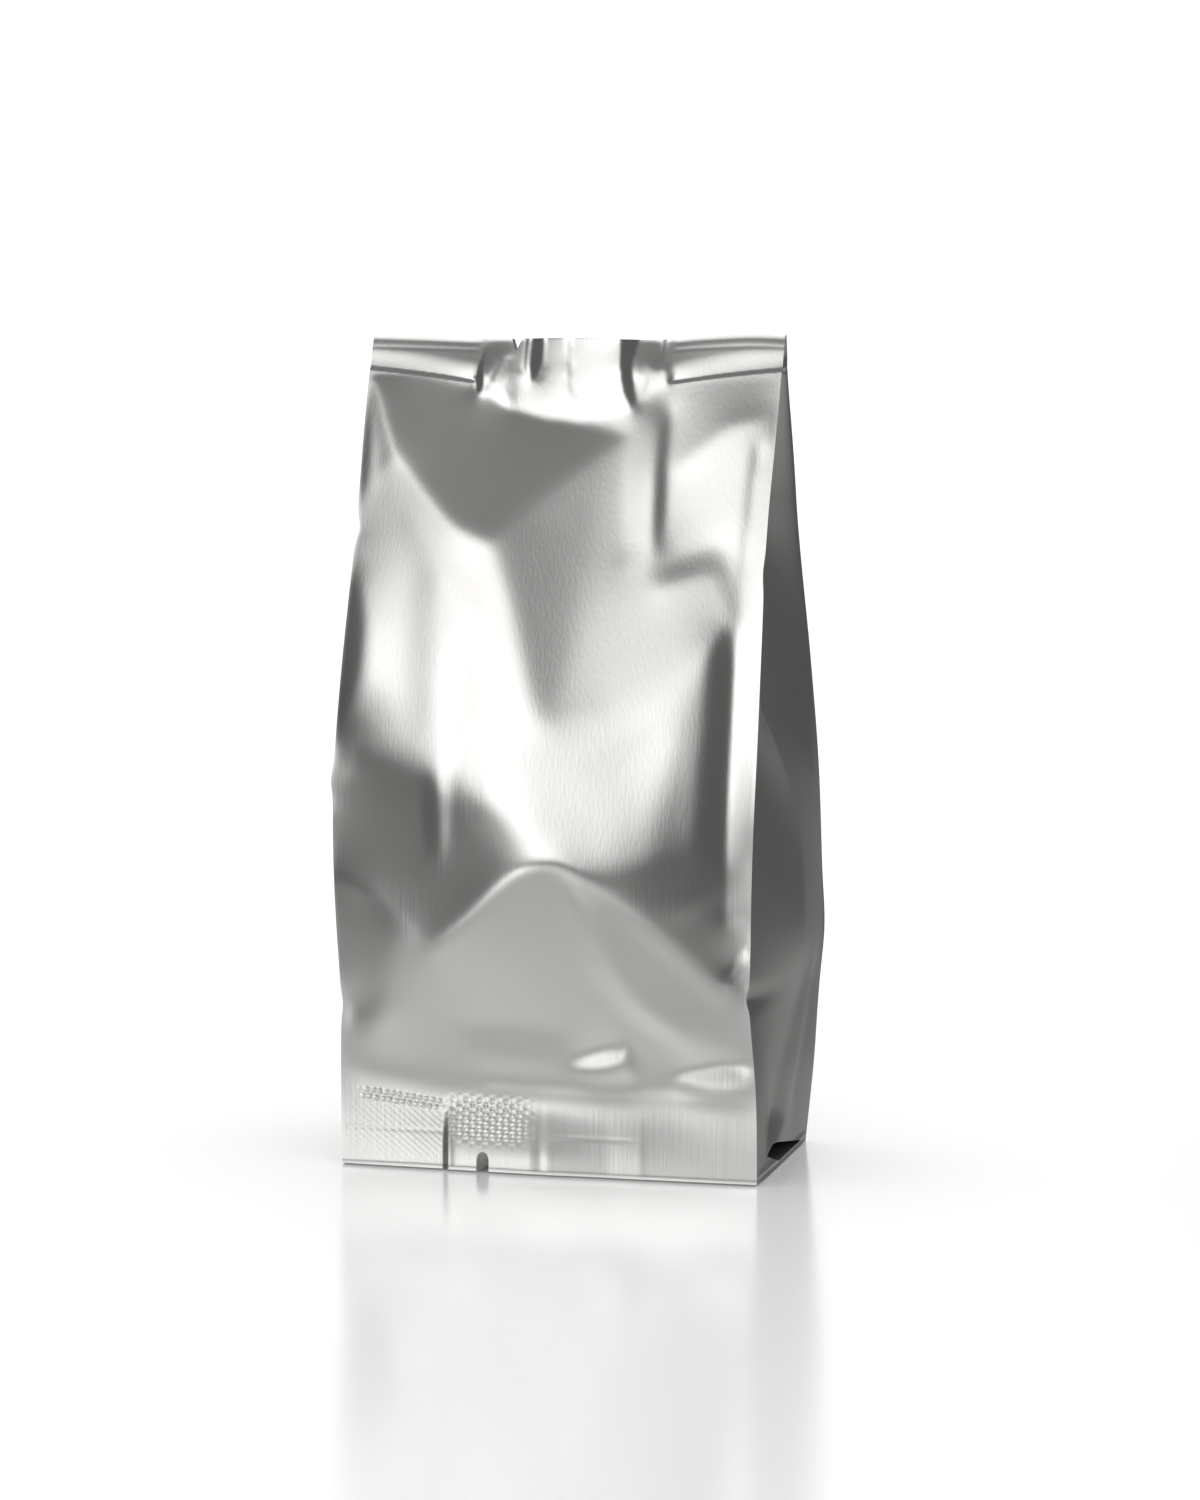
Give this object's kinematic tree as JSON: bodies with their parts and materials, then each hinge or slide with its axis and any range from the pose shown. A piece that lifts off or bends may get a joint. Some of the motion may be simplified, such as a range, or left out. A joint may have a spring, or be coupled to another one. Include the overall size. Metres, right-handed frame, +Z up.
{
  "type": "matcha pouch",
  "caption": "Plain foil laminate pouch with folded side gussets, shut by flat pressed seals at top and foot, filled and standing upright.",
  "frame": {"origin": "on the floor under the middle of the pouch", "axes": "+Z up along the pouch, -Y the front panel, +X to the right of the front panel"},
  "size_m": [0.0874, 0.0632, 0.155],
  "materials": {
    "foil": "satin aluminium foil laminate, softly creased"
  },
  "bodies": {
    "root": {"pouch": "foil"}
  },
  "joints": []
}
